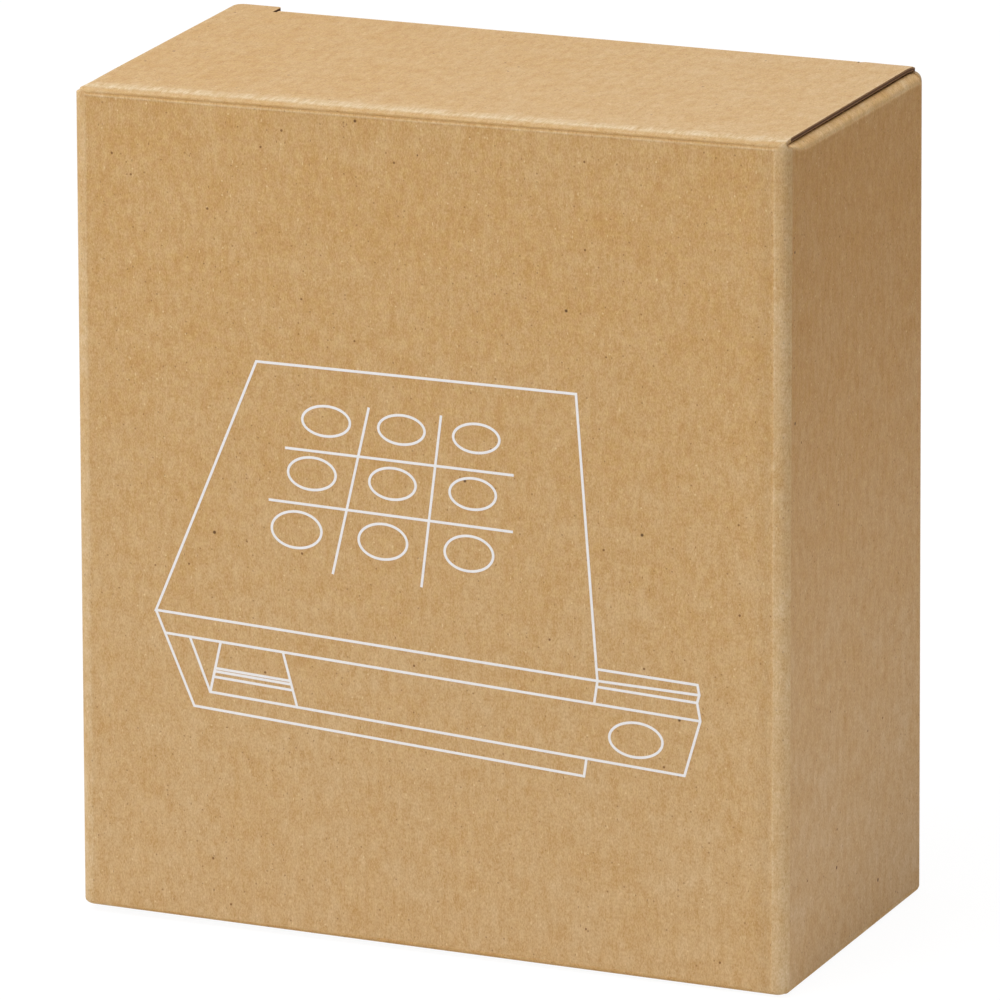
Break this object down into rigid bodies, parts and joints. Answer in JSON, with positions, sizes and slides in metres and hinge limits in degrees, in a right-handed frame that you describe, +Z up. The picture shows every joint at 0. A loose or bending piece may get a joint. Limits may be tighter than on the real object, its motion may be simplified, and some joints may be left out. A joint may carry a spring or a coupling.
{
  "type": "boxed tic-tac-toe board game",
  "caption": "Kraft tuck-end carton holding a square wooden tic-tac-toe case with pocketed board, sliding door and loose playing balls.",
  "frame": {"origin": "centre of the carton's footprint, on the surface it stands on", "axes": "+Z up along the carton's height, -Y out of the printed front panel, +X to the right seen from the front"},
  "size_m": [0.125, 0.062, 0.1405],
  "materials": {
    "kraft_card": "matt brown kraft liner",
    "pine": "fine-sanded, unvarnished",
    "light_wood": "turned and sanded",
    "dark_wood": "stained dark brown"
  },
  "bodies": {
    "carton": {"front_panel": "kraft_card", "right_panel": "kraft_card", "back_panel": "kraft_card", "left_panel": "kraft_card", "glue_flap": "kraft_card"},
    "lid": {"lid_panel": "kraft_card"},
    "tuck": {"tuck_flap": "kraft_card"},
    "top_dust_left": {"dust_flap_left": "kraft_card"},
    "top_dust_right": {"dust_flap_right": "kraft_card"},
    "bottom": {"bottom_panel": "kraft_card"},
    "bottom_tuck": {"bottom_tuck_flap": "kraft_card"},
    "bottom_dust_left": {"bottom_dust_flap_left": "kraft_card"},
    "bottom_dust_right": {"bottom_dust_flap_right": "kraft_card"},
    "game_case": {"board_plate": "pine", "base_plate": "pine", "upper_wall": "pine", "lower_wall": "pine", "back_wall": "pine", "light_balls": "light_wood", "dark_balls": "dark_wood"},
    "door": {"sliding_door": "pine"}
  },
  "joints": [
    {"name": "game_lift", "type": "slide", "parent": "carton", "child": "game_case", "axis": [0, 0, 1], "range_m": [0, 0.14]},
    {"name": "lid_fold", "type": "hinge", "parent": "carton", "child": "lid", "pos_m": [0, -0.031, 0.1405], "axis": [1, 0, 0], "range_deg": [0, 250]},
    {"name": "tuck_fold", "type": "hinge", "parent": "lid", "child": "tuck", "pos_m": [0, 0.03044, 0.1405], "axis": [1, 0, 0], "range_deg": [0, 78]},
    {"name": "top_dust_left_fold", "type": "hinge", "parent": "carton", "child": "top_dust_left", "pos_m": [-0.0625, 0, 0.1394], "axis": [0, -1, 0], "range_deg": [0, 250]},
    {"name": "top_dust_right_fold", "type": "hinge", "parent": "carton", "child": "top_dust_right", "pos_m": [0.0625, 0, 0.1394], "axis": [0, 1, 0], "range_deg": [0, 250]},
    {"name": "door_slide", "type": "slide", "parent": "game_case", "child": "door", "axis": [0, 0, -1], "range_m": [0, 0.08]},
    {"name": "bottom_fold", "type": "hinge", "parent": "carton", "child": "bottom", "pos_m": [0, -0.031, 0], "axis": [-1, 0, 0], "range_deg": [0, 150]},
    {"name": "bottom_tuck_fold", "type": "hinge", "parent": "bottom", "child": "bottom_tuck", "pos_m": [0, 0.03044, 0], "axis": [-1, 0, 0], "range_deg": [0, 47]},
    {"name": "bottom_dust_left_fold", "type": "hinge", "parent": "carton", "child": "bottom_dust_left", "pos_m": [-0.0625, 0, 0.0011], "axis": [0, 1, 0], "range_deg": [0, 150]},
    {"name": "bottom_dust_right_fold", "type": "hinge", "parent": "carton", "child": "bottom_dust_right", "pos_m": [0.0625, 0, 0.0011], "axis": [0, -1, 0], "range_deg": [0, 150]}
  ],
  "couplings": [
    {"joint": "lid_fold", "follows": "game_lift", "rad_per_m": 31.16},
    {"joint": "tuck_fold", "follows": "game_lift", "rad_per_m": 9.72},
    {"joint": "top_dust_left_fold", "follows": "game_lift", "rad_per_m": 31.16},
    {"joint": "top_dust_right_fold", "follows": "game_lift", "rad_per_m": 31.16},
    {"joint": "door_slide", "follows": "game_lift", "ratio": 0.571},
    {"joint": "bottom_tuck_fold", "follows": "bottom_fold", "ratio": 0.312},
    {"joint": "bottom_dust_left_fold", "follows": "bottom_fold", "ratio": 1},
    {"joint": "bottom_dust_right_fold", "follows": "bottom_fold", "ratio": 1}
  ]
}
